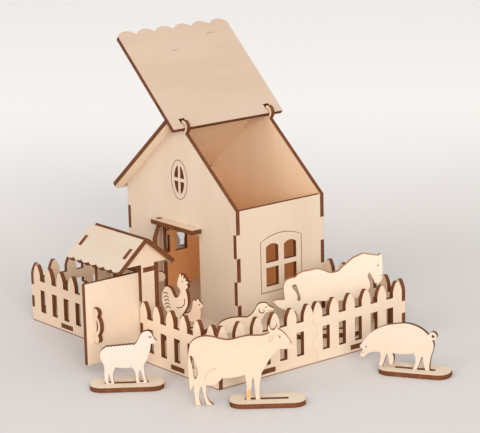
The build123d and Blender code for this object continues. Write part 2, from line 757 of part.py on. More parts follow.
# Cow, by the near corner, with its forefeet in the base and its hind feet on the ground
cow_runs = [
    [(-46.0, 48.0), (-47.6, 38.0), (-47.5, 22.0), (-46.9, 11.8)],
    [(-46.9, 11.8), (-45.4, 13.8), (-43.9, 17.0)],
    [(-43.9, 17.0), (-43.9, 12.5), (-43.3, 6.0), (-43.0, 0.2)],
    [(-43.0, 0.2), (-38.6, 0.2)],
    [(-38.6, 0.2), (-39.8, 4.0), (-40.2, 8.0), (-38.8, 15.0)],
    [(-38.8, 15.0), (-38.0, 15.0)],
    [(-38.0, 15.0), (-36.6, 8.0), (-34.6, 0.2)],
    [(-34.6, 0.2), (-29.4, 0.2)],
    [(-29.4, 0.2), (-33.4, 4.4), (-34.7, 9.0), (-34.8, 15.6)],
    [(-34.8, 15.6), (-33.0, 15.9)],
    [(-33.0, 15.9), (-32.4, 14.9), (-31.8, 15.9)],
    [(-31.8, 15.9), (-29.8, 15.9)],
    [(-29.8, 15.9), (-29.2, 15.0), (-28.6, 16.1)],
    [(-28.6, 16.1), (-26.0, 17.6), (-23.0, 21.0)],
    [(-23.0, 21.0), (-14.5, 21.3), (-5.8, 23.3)],
    [(-5.8, 23.3), (-4.9, 18.0), (-4.6, 12.5), (-5.1, 3.8)],
    [(-5.1, 3.8), (-1.9, 3.8)],
    [(-1.9, 3.8), (-1.2, 12.0), (0.4, 22.6)],
    [(0.4, 22.6), (1.6, 12.0), (2.0, 3.8)],
    [(2.0, 3.8), (5.5, 3.8)],
    [(5.5, 3.8), (5.0, 12.5), (5.9, 19.5), (6.8, 24.5)],
    [(6.8, 24.5), (10.0, 29.8), (13.2, 35.2), (16.6, 39.6), (19.5, 43.0)],
    [(19.5, 43.0), (24.0, 42.6), (28.4, 42.5)],
    [(28.4, 42.5), (30.0, 44.8), (29.2, 47.6)],
    [(29.2, 47.6), (27.0, 51.2), (24.4, 54.6), (19.6, 58.2)],
    [(19.6, 58.2), (18.7, 61.8)],
    [(18.7, 61.8), (17.7, 58.8), (15.8, 57.4), (13.9, 58.8), (13.0, 61.8)],
    [(13.0, 61.8), (12.0, 59.0), (13.4, 55.8)],
    [(13.4, 55.8), (9.0, 53.7), (-0.5, 53.5), (-8.5, 52.4), (-17.0, 50.6), (-23.5, 51.6), (-30.5, 53.6),
     (-40.5, 52.8), (-46.0, 48.0)],
]
cow_tabs = [(-5.1, -1.9), (2.0, 5.5)]
cow_tail_gap = [
    (-45.1, 39.0), (-43.8, 37.6), (-42.3, 33.2), (-40.7, 28.0), (-41.1, 23.8), (-42.7, 21.0), (-43.9, 23.6),
    (-44.7, 31.0),
]
figure("cow", yard_right + 41.0, yard_front, 0, 52, cow_runs, cow_tabs, (20.8, 52.0), gaps=[cow_tail_gap])
figure_base(
    "cow_base", yard_right + 41.0, yard_front, 0, 52, 10.9, [(-5.1, 25.6)], base_length, base_width, base_corner
)

# Pig, off the right side, with its hind feet in the base
pig_runs = [
    [(-40.4, 24.6), (-42.0, 22.2), (-44.2, 19.6)],
    [(-44.2, 19.6), (-43.2, 17.6), (-41.8, 17.0)],
    [(-41.8, 17.0), (-42.6, 14.8), (-44.0, 12.8)],
    [(-44.0, 12.8), (-43.4, 10.8), (-41.6, 10.2), (-39.8, 11.2)],
    [(-39.8, 11.2), (-38.2, 13.0), (-34.6, 14.8), (-27.8, 15.4)],
    [(-27.8, 15.4), (-27.4, 11.0), (-28.2, 7.3), (-29.2, 4.2)],
    [(-29.2, 4.2), (-26.4, 4.2)],
    [(-26.4, 4.2), (-25.4, 6.0), (-24.0, 10.2), (-22.3, 14.2)],
    [(-22.3, 14.2), (-21.6, 14.0)],
    [(-21.6, 14.0), (-20.8, 10.0), (-20.6, 6.0)],
    [(-20.6, 6.0), (-18.0, 5.8)],
    [(-18.0, 5.8), (-16.9, 9.0), (-17.8, 15.4)],
    [(-17.8, 15.4), (-8.5, 15.4), (-0.8, 16.8)],
    [(-0.8, 16.8), (0.6, 11.4), (-1.6, 3.8)],
    [(-1.6, 3.8), (1.6, 3.8)],
    [(1.6, 3.8), (3.6, 8.4), (5.4, 14.2)],
    [(5.4, 14.2), (6.6, 14.2)],
    [(6.6, 14.2), (7.2, 9.0), (8.4, 3.8)],
    [(8.4, 3.8), (11.8, 3.8)],
    [(11.8, 3.8), (12.2, 11.4), (14.0, 18.6), (15.2, 24.0), (13.8, 29.0), (10.0, 33.2)],
    [(10.0, 33.2), (5.5, 36.8), (0.0, 39.2), (-7.0, 40.3), (-14.0, 39.5), (-22.5, 37.6), (-30.0, 34.2),
     (-36.0, 29.8), (-40.4, 24.6)],
]
pig_tabs = [(-1.6, 1.6), (8.4, 11.8)]
figure(
    "pig", yard_right + 71.6, 40.4, 0, 31.5, pig_runs, pig_tabs, (-39.2, 18.9), rings=[((14.4, 31.8), 3.2)],
    holes=[((14.8, 31.8), 1.3)],
)
figure_base(
    "pig_base", yard_right + 71.6, 40.4, 0, 31.5, 0, [(-15.0, 15.0)], base_length, base_width, base_corner
)

# Horse, in the yard beside the house
horse_runs = [
    [(-24.0, 49.4), (-28.0, 48.9), (-32.1, 47.0), (-34.0, 42.9), (-33.9, 37.0), (-33.6, 31.1)],
    [(-33.6, 31.1), (-38.0, 31.3), (-43.0, 30.8)],
    [(-43.0, 30.8), (-40.4, 27.2), (-36.6, 24.1), (-31.0, 22.0), (-25.0, 21.4)],
    [(-25.0, 21.4), (-21.6, 14.0), (-18.6, 3.8)],
    [(-18.6, 3.8), (-14.4, 3.8)],
    [(-14.4, 3.8), (-15.2, 12.0), (-13.0, 22.6)],
    [(-13.0, 22.6), (-12.0, 22.6)],
    [(-12.0, 22.6), (-11.6, 12.0), (-10.0, 3.8)],
    [(-10.0, 3.8), (-5.8, 3.8)],
    [(-5.8, 3.8), (-7.4, 14.0), (-6.0, 28.6)],
    [(-6.0, 28.6), (0.0, 28.4), (6.6, 28.2)],
    [(6.6, 28.2), (6.0, 14.0), (4.8, 3.8)],
    [(4.8, 3.8), (9.2, 3.8)],
    [(9.2, 3.8), (10.2, 14.0), (11.0, 28.0)],
    [(11.0, 28.0), (15.6, 28.0)],
    [(15.6, 28.0), (16.8, 14.0), (16.2, 3.8)],
    [(16.2, 3.8), (20.6, 3.8)],
    [(20.6, 3.8), (21.6, 14.0), (23.8, 28.4)],
    [(23.8, 28.4), (30.0, 31.6), (36.0, 36.4), (36.8, 42.0), (35.2, 46.6), (36.5, 50.4)],
    [(36.5, 50.4), (39.4, 45.0), (41.0, 41.0)],
    [(41.0, 41.0), (44.0, 40.8), (47.2, 45.4)],
    [(47.2, 45.4), (47.4, 51.0), (47.0, 62.6)],
    [(47.0, 62.6), (46.2, 65.2), (43.6, 63.8)],
    *wool((43.6, 63.8), (31.5, 66.2), 4, -0.4),
    *wool((31.5, 66.2), (23.5, 63.0), 3, -0.4),
    *wool((23.5, 63.0), (12.5, 54.0), 5, -0.4),
    [(12.5, 54.0), (8.0, 51.8), (4.0, 51.8), (-1.0, 53.8), (-6.0, 55.4), (-12.5, 54.6), (-18.5, 53.6),
     (-22.2, 51.8), (-24.0, 49.4)],
]
horse_tabs = [(-18.6, -14.4), (-10.0, -5.8), (4.8, 9.2), (16.2, 20.6)]
horse_tail_gap = [
    (-26.3, 43.4), (-24.3, 43.6), (-22.8, 40.6), (-21.6, 36.4), (-20.5, 32.6), (-21.2, 29.8), (-22.6, 30.0),
    (-22.9, 33.2), (-23.8, 36.4), (-25.9, 39.6),
]
figure(
    "horse", yard_right - 38.0, 44.0, floor_top, 58, horse_runs, horse_tabs, (43.6, 55.8), gaps=[horse_tail_gap]
)
figure_base(
    "horse_base", yard_right - 38.0, 44.0, floor_top, 58, 0, horse_tabs, base_length, base_width, base_corner
)

# Dog, in the yard in front of the house
dog_runs = [
    [(-20.4, 3.8), (-21.4, 8.0), (-21.6, 12.6), (-20.6, 17.0), (-17.4, 21.4), (-12.5, 24.0), (-5.0, 25.4),
     (3.5, 25.2)],
    [(3.5, 25.2), (7.5, 27.8), (10.5, 31.8), (13.0, 35.8), (16.5, 37.1), (20.0, 36.4)],
    [(20.0, 36.4), (21.4, 34.4), (24.3, 33.0)],
    [(24.3, 33.0), (25.2, 31.4), (23.0, 30.0), (18.8, 28.6)],
    [(18.8, 28.6), (16.8, 25.6), (14.6, 19.6), (13.8, 13.4), (14.6, 3.8)],
    [(14.6, 3.8), (10.8, 3.8)],
    [(10.8, 3.8), (10.4, 8.0), (8.6, 12.4)],
    [(8.6, 12.4), (-2.0, 11.4), (-11.0, 13.0)],
    [(-11.0, 13.0), (-15.0, 9.4), (-15.8, 3.8)],
    [(-15.8, 3.8), (-20.4, 3.8)],
]
dog_tabs = [(-20.4, -15.8), (10.8, 14.6)]
figure("dog", 72.0, -28.4, floor_top, 51.3, dog_runs, dog_tabs, (19.2, 33.4), [
    [(14.2, 32.4), (14.6, 29.2), (16.2, 28.6), (17.2, 31.6)],
])
figure_base(
    "dog_base", 72.0, -28.4, floor_top, 51.3, -3, dog_tabs, dog_base_length, small_base_width, small_base_corner
)

# Rooster and cat, in the yard behind the gate
rooster_runs = [
    [(-3.0, 43.7), (-6.1, 44.0), (-9.1, 40.6), (-10.8, 35.3), (-10.3, 29.4), (-8.4, 25.5), (-5.9, 22.5),
     (-2.4, 21.2)],
    [(-2.4, 21.2), (-0.4, 20.4)],
    [(-0.4, 20.4), (-1.0, 12.0), (-2.4, 3.8)],
    [(-2.4, 3.8), (0.6, 3.8)],
    [(0.6, 3.8), (1.6, 12.0), (2.2, 19.8)],
    [(2.2, 19.8), (4.6, 19.8)],
    [(4.6, 19.8), (4.8, 12.0), (4.2, 3.8)],
    [(4.2, 3.8), (7.2, 3.8)],
    [(7.2, 3.8), (7.4, 12.0), (7.6, 20.4)],
    [(7.6, 20.4), (10.4, 23.4), (13.2, 27.2), (15.4, 31.7), (15.7, 36.8), (14.8, 41.7)],
    [(14.8, 41.7), (13.8, 44.6)],
    [(13.8, 44.6), (15.9, 46.2), (15.0, 49.4)],
    [(15.0, 49.4), (16.9, 50.4), (14.1, 51.8)],
    [(14.1, 51.8), (14.0, 54.2), (12.2, 52.8)],
    [(12.2, 52.8), (11.5, 56.6), (10.2, 53.9)],
    [(10.2, 53.9), (9.0, 57.2), (7.6, 54.6)],
    [(7.6, 54.6), (6.6, 52.4), (5.9, 50.4), (5.3, 47.8)],
    [(5.3, 47.8), (5.9, 45.8), (7.8, 44.4)],
    [(7.8, 44.4), (8.3, 42.0), (7.4, 39.2)],
    [(7.4, 39.2), (5.6, 36.8), (3.4, 35.9)],
    [(3.4, 35.9), (1.6, 37.4), (0.0, 40.8), (-3.0, 43.7)],
]
rooster_tabs = [(-2.4, 0.6), (4.2, 7.2)]
tail_slits = [
    [(-8.8 + 0.45 * k, 37.6 - 3.0 * k), (-6.6 + 0.5 * k, 39.0 - 2.9 * k), (-4.2 + 0.55 * k, 37.6 - 2.8 * k)]
    for k in range(5)
]
figure("rooster", 17.2, -55.3, floor_top, 15, rooster_runs, rooster_tabs, (10.8, 50.8), tail_slits + [
    [(4.0, 28.2), (8.8, 28.6), (12.0, 31.8), (12.2, 36.6)],
])
figure_base(
    "rooster_base", 17.2, -55.3, floor_top, 15, 2.4, rooster_tabs, small_base_length, small_base_width,
    small_base_corner,
)
cat_runs = [
    [(-15.4, 3.8), (-16.0, 9.0), (-15.2, 14.2), (-12.6, 16.2), (-8.6, 16.6), (-5.0, 17.6), (-3.0, 21.2),
     (-2.0, 26.8)],
    [(-2.0, 26.8), (-1.0, 28.6)],
    [(-1.0, 28.6), (0.6, 26.8)],
    [(0.6, 26.8), (2.1, 29.6)],
    [(2.1, 29.6), (3.4, 27.0)],
    [(3.4, 27.0), (5.4, 24.8), (6.8, 23.2)],
    [(6.8, 23.2), (5.6, 21.6), (4.2, 20.4)],
    [(4.2, 20.4), (4.4, 15.0), (3.9, 10.0), (4.4, 3.8)],
    [(4.4, 3.8), (1.2, 3.8)],
    [(1.2, 3.8), (0.6, 9.2)],
    [(0.6, 9.2), (-4.0, 9.6), (-10.2, 9.0)],
    [(-10.2, 9.0), (-12.2, 7.0), (-12.2, 3.8)],
    [(-12.2, 3.8), (-15.4, 3.8)],
]
cat_tabs = [(-15.4, -12.2), (1.2, 4.4)]
figure("cat", 13.8, -30.9, floor_top, 51.3, cat_runs, cat_tabs, (3.4, 23.8))
figure_base(
    "cat_base", 13.8, -30.9, floor_top, 51.3, -5.5, cat_tabs, small_base_length, small_base_width,
    small_base_corner,
)
print("lid swing", round(lid_swing, 2), "hinge", round(hinge_x, 3), round(hinge_z, 3))
print("door pivot", door_pivot, "gate pivot", gate_pivot)
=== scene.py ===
import math

import bpy
import numpy as np
from mathutils import Matrix, Vector

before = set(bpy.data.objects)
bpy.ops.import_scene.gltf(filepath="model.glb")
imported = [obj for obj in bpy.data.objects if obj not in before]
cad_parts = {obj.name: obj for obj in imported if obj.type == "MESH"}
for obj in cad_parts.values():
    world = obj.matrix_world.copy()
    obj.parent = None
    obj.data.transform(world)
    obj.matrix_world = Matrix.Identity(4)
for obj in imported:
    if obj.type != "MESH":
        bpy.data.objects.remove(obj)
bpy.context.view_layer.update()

print("frame loaded:", len(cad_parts), "plates")

camera = {
    "azimuth": 51.28,                 # degrees from -Y towards +X
    "elevation": 13.98,
    "roll": -1.33,
    "focal": 2062.5 / 480,            # focal length in picture widths
    "place": (1.30676, -1.01827, 0.50868),
    "sensor": 36.0,
    "clip": (0.05, 60.0),
}

birch = {
    "face": (0.640, 0.492, 0.362),    # colours are linear RGB
    "warm": (0.585, 0.425, 0.295),    # broad figure of the veneer
    "streak": (0.50, 0.36, 0.245),    # fine fibres
    "fleck": (0.33, 0.20, 0.11),      # short dark dashes
    "char": (0.098, 0.026, 0.006),    # the laser-cut edge
    "charLight": (0.185, 0.062, 0.018),
    "score": (0.30, 0.16, 0.075),     # engraved lines
    "scoreDepth": 0.65,               # how strongly they show
    "smudge": (0.56, 0.28, 0.07),     # orange scorch
    "smudgeDepth": 0.75,
    "scorch": (0.27, 0.125, 0.055),   # the browned rim of a face
    "rim": 0.00042,                   # width of that rim, m
    "rimDepth": 0.85,
    "foot": (0.00063, 0.00117),       # heights over which a fence's dark foot ends, m: browned by scorch and by painted contact shade on the floor
    "footShadeDepth": 0.75,
    "faceRough": 0.62,
    "edgeRough": 0.75,
    "specular": 0.25,
    "bumpStrength": 0.35,
    "bumpHeight": 0.00006,            # m
    "facing": (0.80, 0.90),           # how squarely a surface faces along the plate's normal: edge, face
    "turned": (0.78, 0.99),           # the same for the bevelled normal at a rim: full, none
    "skin": (0.0002, 0.0001),         # depth under the face where cut slits turn dark, m
    "stroke": (0.55, 1.25),           # where a burnt line fades out, in half widths
    "inner": 0.0001,                  # depth past a plate's middle where its inner half starts, m
    "seed": 0.37,                     # step from one plate to the next in the noise, m
}

# Noise patterns: scale along the grain, across it and through the plate, per m, and the noise
# values between which each one comes in
grain = {
    "broad": {"scale": (7.0, 38.0, 900.0), "detail": 3.0, "between": (0.35, 0.68)},
    "fine": {"scale": (55.0, 1300.0, 900.0), "detail": 2.0, "between": (0.45, 0.75)},
    "dash": {"scale": (330.0, 2600.0, 900.0), "detail": 1.0, "between": (0.72, 0.80)},
    "fineDepth": 0.4,                 # depth of a fibre in the bump, against a dash's 1
    "striation": {"scale": (1500.0, 1500.0, 90.0), "detail": 2.0, "between": (0.40, 0.68)},
    "blotch": {"scale": (120.0, 120.0, 120.0), "detail": 2.0, "between": (0.35, 0.70)},
}

# Cut edge: how much each pattern lightens the char, and where along half the thickness the core
# ply ends and the glue line lies
cutEdge = {
    "striation": 0.45,
    "blotch": 0.35,
    "core": 0.20,
    "coreEnd": (0.30, 0.40),
    "glueRise": (0.24, 0.35),
    "glueFall": (0.35, 0.46),
    "glueDepth": 0.5,
}


def linkAll(tree, pairs):
    for source, target in pairs:
        tree.links.new(source, target)


# Short hand for a node tree: add makes one node and links or sets its inputs
class Nodes:
    def __init__(self, tree):
        self.tree = tree

    def add(self, kind, inputs=(), **settings):
        node = self.tree.nodes.new(kind)
        for key, value in settings.items():
            setattr(node, key, value)
        for key, value in dict(inputs).items():
            if isinstance(value, bpy.types.NodeSocket):
                self.tree.links.new(value, node.inputs[key])
            else:
                node.inputs[key].default_value = value
        return node

    def place(self):
        return self.add("ShaderNodeTexCoord").outputs["Object"]

    def math(self, operation, a, b=0.0):
        return self.add("ShaderNodeMath", {0: a, 1: b}, operation=operation).outputs[0]

    def dot(self, a, b):
        return self.add("ShaderNodeVectorMath", {0: a, 1: b}, operation="DOT_PRODUCT").outputs["Value"]

    def cross(self, a, b):
        return self.add("ShaderNodeVectorMath", {0: a, 1: b}, operation="CROSS_PRODUCT").outputs[0]

    def step(self, value, low, high, outLow=0.0, outHigh=1.0):
        node = self.add(
            "ShaderNodeMapRange",
            {"Value": value, "From Min": low, "From Max": high, "To Min": outLow, "To Max": outHigh},
            interpolation_type="SMOOTHSTEP",
        )
        return node.outputs[0]

    def pattern(self, place, values):
        scaled = self.add("ShaderNodeVectorMath", {0: place, 1: values["scale"]}, operation="MULTIPLY")
        noise = self.add(
            "ShaderNodeTexNoise",
            {"Vector": scaled.outputs[0], "Scale": 1.0, "Detail": values["detail"], "Roughness": 0.5},
        )
        return self.step(noise.outputs["Fac"], *values["between"])

    def mix(self, factor, a, b, blend="MIX"):
        node = self.tree.nodes.new("ShaderNodeMix")
        node.data_type = "RGBA"
        node.blend_type = blend
        for key, value in ((0, factor), (6, a), (7, b)):
            if isinstance(value, bpy.types.NodeSocket):
                self.tree.links.new(value, node.inputs[key])
            else:
                node.inputs[key].default_value = (*value, 1.0) if key else value
        return node.outputs[2]


# Empty shader group with the named sockets
def newGroup(name, inputs, outputs):
    tree = bpy.data.node_groups.new(name, "ShaderNodeTree")
    for label, kind, value in inputs:
        socket = tree.interface.new_socket(name=label, in_out="INPUT", socket_type=kind)
        if value is not None:
            socket.default_value = value
    for label, kind in outputs:
        tree.interface.new_socket(name=label, in_out="OUTPUT", socket_type=kind)
    entry = tree.nodes.new("NodeGroupInput")
    leave = tree.nodes.new("NodeGroupOutput")
    return tree, entry.outputs, leave.inputs


# Object place as distances along the grain, across it and through the plate
def plateSpaceGroup():
    tree, given, out = newGroup(
        "plateSpace",
        [("Along", "NodeSocketVector", (1, 0, 0)), ("Through", "NodeSocketVector", (0, 0, 1)),
         ("Middle", "NodeSocketFloat", 0.0), ("Seed", "NodeSocketFloat", 0.0)],
        [("Place", "NodeSocketVector"), ("Depth", "NodeSocketFloat"), ("Facing", "NodeSocketFloat")],
    )
    n = Nodes(tree)
    coords = n.add("ShaderNodeTexCoord").outputs
    across = n.cross(given["Through"], given["Along"])
    along = n.dot(coords["Object"], given["Along"])
    side = n.dot(coords["Object"], across)
    depth = n.math("SUBTRACT", n.dot(coords["Object"], given["Through"]), given["Middle"])
    seeded = n.math("ADD", depth, given["Seed"])
    place = n.add("ShaderNodeCombineXYZ", {"X": along, "Y": side, "Z": seeded})
    facing = n.math("ABSOLUTE", n.dot(coords["Normal"], given["Through"]))
    linkAll(tree, ((place.outputs[0], out["Place"]), (depth, out["Depth"]), (facing, out["Facing"])))
    return tree


# Birch face veneer: broad figure, fine fibres and short dark flecks along the grain
def veneerGroup():
    tree, given, out = newGroup(
        "birchVeneer",
        [("Place", "NodeSocketVector", None), ("Figure", "NodeSocketFloat", 0.5),
         ("Fibres", "NodeSocketFloat", 0.3), ("Flecks", "NodeSocketFloat", 0.5)],
        [("Color", "NodeSocketColor"), ("Height", "NodeSocketFloat")],
    )
    n = Nodes(tree)
    broad, fine, dash = (n.pattern(given["Place"], grain[kind]) for kind in ("broad", "fine", "dash"))
    colour = n.mix(n.math("MULTIPLY", broad, given["Figure"]), birch["face"], birch["warm"])
    colour = n.mix(n.math("MULTIPLY", fine, given["Fibres"]), colour, birch["streak"])
    colour = n.mix(n.math("MULTIPLY", dash, given["Flecks"]), colour, birch["fleck"])
    height = n.math("SUBTRACT", n.math("MULTIPLY", fine, -grain["fineDepth"]), dash)
    linkAll(tree, ((colour, out["Color"]), (height, out["Height"])))
    return tree


# Laser-cut edge: three plies, glue lines, and striations straight through the plate
def charGroup():
    tree, given, out = newGroup(
        "charredEdge",
        [("Place", "NodeSocketVector", None), ("Depth", "NodeSocketFloat", 0.0),
         ("Half", "NodeSocketFloat", 0.0019)],
        [("Color", "NodeSocketColor"), ("Height", "NodeSocketFloat")],
    )
    n = Nodes(tree)
    share = n.math("DIVIDE", n.math("ABSOLUTE", given["Depth"]), given["Half"])
    core = n.step(share, *cutEdge["coreEnd"], 1.0, 0.0)
    glueRise = n.step(share, *cutEdge["glueRise"])
    glue = n.math("MULTIPLY", glueRise, n.step(share, *cutEdge["glueFall"], 1.0, 0.0))
    striation = n.pattern(given["Place"], grain["striation"])
    blotch = n.pattern(given["Place"], grain["blotch"])
    lighter = n.math("MULTIPLY", striation, cutEdge["striation"])
    lighter = n.math("ADD", lighter, n.math("MULTIPLY", blotch, cutEdge["blotch"]))
    lighter = n.math("ADD", lighter, n.math("MULTIPLY", core, cutEdge["core"]))
    unglued = n.math("SUBTRACT", 1.0, n.math("MULTIPLY", glue, cutEdge["glueDepth"]))
    colour = n.mix(n.math("MULTIPLY", lighter, unglued), birch["char"], birch["charLight"])
    linkAll(tree, ((colour, out["Color"]), (striation, out["Height"])))
    return tree


# Burnt line between two points of a plate's own drawing; 1 on the line, 0 away from it
def strokeGroup():
    tree, given, out = newGroup(
        "strokeLine",
        [("Point", "NodeSocketVector", None), ("From", "NodeSocketVector", (0, 0, 0)),
         ("To", "NodeSocketVector", (0, 0, 0)), ("Half", "NodeSocketFloat", 0.0003)],
        [("Mask", "NodeSocketFloat")],
    )
    n = Nodes(tree)

    def vector(operation, a, b):
        return n.add("ShaderNodeVectorMath", {0: a, 1: b}, operation=operation).outputs[0]

    span = vector("SUBTRACT", given["To"], given["From"])
    reach = vector("SUBTRACT", given["Point"], given["From"])
    share = n.math("DIVIDE", n.dot(reach, span), n.math("ADD", n.dot(span, span), 1e-12))
    share = n.math("MINIMUM", n.math("MAXIMUM", share, 0.0), 1.0)
    nearest = n.add("ShaderNodeVectorMath", {0: span, 3: share}, operation="SCALE").outputs[0]
    away = n.add("ShaderNodeVectorMath", {0: vector("SUBTRACT", reach, nearest)}, operation="LENGTH")
    widths = n.math("DIVIDE", away.outputs["Value"], given["Half"])
    mask = n.step(widths, *birch["stroke"], 1.0, 0.0)
    tree.links.new(mask, out["Mask"])
    return tree


groups = {
    "space": plateSpaceGroup(),
    "veneer": veneerGroup(),
    "char": charGroup(),
    "stroke": strokeGroup(),
}


# Normal, horizontal axis, middle and half thickness of a flat plate, from its mesh
def plateShape(obj):
    mesh = obj.data
    count = len(mesh.polygons)
    normals = np.empty(count * 3)
    areas = np.empty(count)
    mesh.polygons.foreach_get("normal", normals)
    mesh.polygons.foreach_get("area", areas)
    normals = normals.reshape(-1, 3)
    spread = (normals * areas[:, None]).T @ normals
    through = np.linalg.eigh(spread)[1][:, 2]
    points = np.empty(len(mesh.vertices) * 3)
    mesh.vertices.foreach_get("co", points)
    depths = points.reshape(-1, 3) @ through
    level = np.cross((0, 0, 1), through)
    if np.linalg.norm(level) < 0.1:
        level = np.array((1.0, 0.0, 0.0))
    level = level / np.linalg.norm(level)
    return {
        "through": through,
        "level": level,
        "middle": (depths.min() + depths.max()) / 2,
        "half": (depths.max() - depths.min()) / 2,
    }


# Inner faces of the house: painted bounce light tints them, standing for light that has gone from wall to
# wall, most by the floor
house = {
    "middle": (-0.0422, 0.0462, 0.090),  # a point inside it
    "ends": (0.0475, 0.0480),            # from there to the gables' outer faces
    "walls": (
        "front_gable_wall", "back_gable_wall", "right_side_wall", "left_side_wall", "left_roof_panel",
    ),
    "low": (1.27, 0.83, 0.47),
    "high": (1.15, 1.09, 1.00),
    "roof": "left_roof_panel",
    "paintedUnderRoof": (1.55, 1.42, 1.28),     # painted light high on the roof panel's shaded underside
    "paintedEave": (1.65, 1.75, 1.85),          # and stronger painted light on its eaves
    "changeOver": (0.035, 0.135),        # heights between which low gives way to high
}


# Which way the grain of each plate runs, the tones of its faces and edges, and its figure and flecks;
# a plate not named here is like the usual one. A face tone is partly the plate's own wood tone and partly
# painted light and shade, lightening plates that lie in shade such as the rooster, cat, dog and front
# fence
plates = {
    "usual": {"upright": False, "toneAndLight": (1.0, 1.0, 1.0), "edge": (1.0, 1.0, 1.0), "figure": 0.42,
              "fibres": 0.15, "flecks": 0.30},
    "bases": {"toneAndLight": (1.06, 1.14, 1.21)},
    "front_gable_wall": {"upright": True, "toneAndLight": (0.98, 1.03, 1.09)},
    "back_gable_wall": {"upright": True},
    "right_side_wall": {"upright": True, "toneAndLight": (0.97, 1.02, 1.07)},
    "left_side_wall": {"upright": True},
    "gate_door": {"upright": True, "toneAndLight": (1.07, 1.10, 1.14)},
    "house_door": {"upright": True},
    "roof_lid": {"toneAndLight": (0.79, 0.785, 0.815), "figure": 0.55, "fibres": 0.10},
    "left_roof_panel": {"toneAndLight": (0.86, 0.88, 0.88)},
    "gate_roof_front": {"toneAndLight": (0.86, 0.91, 0.98)},
    "fence_front_right": {"toneAndLight": (1.16, 1.16, 1.16)},
    "fence_right_front": {"toneAndLight": (1.06, 1.09, 1.12)},
    "fence_right_back": {"toneAndLight": (1.06, 1.09, 1.12)},
    "rooster": {"toneAndLight": (1.30, 1.33, 1.36)},
    "cat": {"toneAndLight": (1.20, 1.15, 1.17)},
    "dog": {"toneAndLight": (1.12, 1.18, 1.22)},
    "yard_floor": {"toneAndLight": (1.04, 1.09, 1.12)},
    "sheep": {"toneAndLight": (1.0, 1.07, 1.26), "edge": (0.76, 0.78, 0.55)},
    "cow": {"toneAndLight": (0.98, 0.96, 0.98), "edge": (1.70, 2.20, 2.40)},
    "pig": {"toneAndLight": (0.98, 1.01, 1.09), "edge": (0.86, 1.00, 1.00)},
    "horse": {"toneAndLight": (1.06, 1.15, 1.25), "edge": (2.90, 4.80, 7.60)},
}


# Burnt lines on the plates' faces, in mm: along the heading and up from the given place, which for an
# animal is its drawing's origin and for the lid its hinge; each row is a half width and a line's points
burnt = {
    "sheep": {"at": (73.6, -144.6), "heading": 53.0, "ground": 0.0, "lines": [
        (0.40, [(17.2, 40.6), (18.6, 41.0), (20.0, 40.3)]),
        (0.28, [(20.8, 36.4), (22.2, 36.9), (23.4, 37.2)]),
    ]},
    "cow": {"at": (169.0, -97.7), "heading": 52.0, "ground": 0.0, "lines": [
        (0.38, [(28.6, 48.4), (28.2, 46.6), (28.4, 45.4)]),
        (0.26, [(27.4, 43.6), (26.4, 43.3), (25.4, 43.5)]),
        (0.30, [(21.4, 53.0), (20.2, 53.3), (19.0, 52.6)]),
        (0.26, [(16.2, 53.0), (13.8, 52.6), (12.6, 50.6), (12.8, 48.6), (14.6, 49.6), (15.8, 51.4),
                (16.2, 53.0)]),
        (0.26, [(-35.5, 20.1), (-35.2, 22.6), (-34.2, 24.8), (-31.5, 27.4), (-29.3, 28.4), (-27.0, 28.8)]),
    ]},
    "pig": {"at": (199.6, 40.4), "heading": 31.5, "ground": 0.0, "lines": [
        (0.28, [(-43.0, 13.6), (-41.4, 13.8), (-40.0, 14.8)]),
    ]},
    "horse": {"at": (90.0, 44.0), "heading": 58.0, "ground": 6.6, "lines": [
        (0.35, [(44.2, 57.6), (43.6, 56.6), (43.8, 55.0)]),
        (0.30, [(46.8, 47.6), (45.6, 47.4), (44.8, 46.6)]),
    ]},
    "dog": {"at": (72.0, -28.4), "heading": 51.3, "ground": 6.6, "lines": [
        (0.28, [(23.6, 31.0), (21.8, 30.6), (20.4, 31.2)]),
    ]},
    "roof_lid": {"at": (-35.2, 0.0), "heading": 90.0, "ground": 167.4, "lean": 43.0, "lines": [
        (0.40, [(32.6, 77.2), (35.6, 77.6), (38.2, 77.3)]),
        (0.40, [(76.8, 89.9), (81.0, 90.3), (85.4, 90.0)]),
    ]},
}
smudges = {
    "cow": {"at": (169.0, -97.7), "heading": 52.0, "ground": 0.0, "lines": [
        (1.5, [(-3.9, 4.6), (-3.3, 7.0), (-2.6, 10.5)]),
    ]},
}


# All lines of one drawing, as one mask; lean is the drawing's fall back from upright, to its left
def burntLines(n, drawing):
    mm = 0.001
    a = math.radians(drawing["heading"])
    x, y = (v * mm for v in drawing["at"])
    way = (math.cos(a), math.sin(a), 0.0)
    place = n.place()
    along = n.math("SUBTRACT", n.dot(place, way), x * way[0] + y * way[1])
    lean = math.radians(drawing.get("lean", 0.0))
    rise = (-way[1] * math.sin(lean), way[0] * math.sin(lean), math.cos(lean))
    foot = x * rise[0] + y * rise[1] + drawing["ground"] * mm * rise[2]
    up = n.math("SUBTRACT", n.dot(place, rise), foot)
    point = n.add("ShaderNodeCombineXYZ", {"X": along, "Y": up}).outputs[0]
    total = None
    for half, line in drawing["lines"]:
        for start, end in zip(line, line[1:]):
            stroke = n.add("ShaderNodeGroup", node_tree=groups["stroke"])
            n.tree.links.new(point, stroke.inputs["Point"])
            stroke.inputs["From"].default_value = (start[0] * mm, start[1] * mm, 0.0)
            stroke.inputs["To"].default_value = (end[0] * mm, end[1] * mm, 0.0)
            stroke.inputs["Half"].default_value = half * mm
            mask = stroke.outputs["Mask"]
            total = mask if total is None else n.math("MAXIMUM", total, mask)
    return total


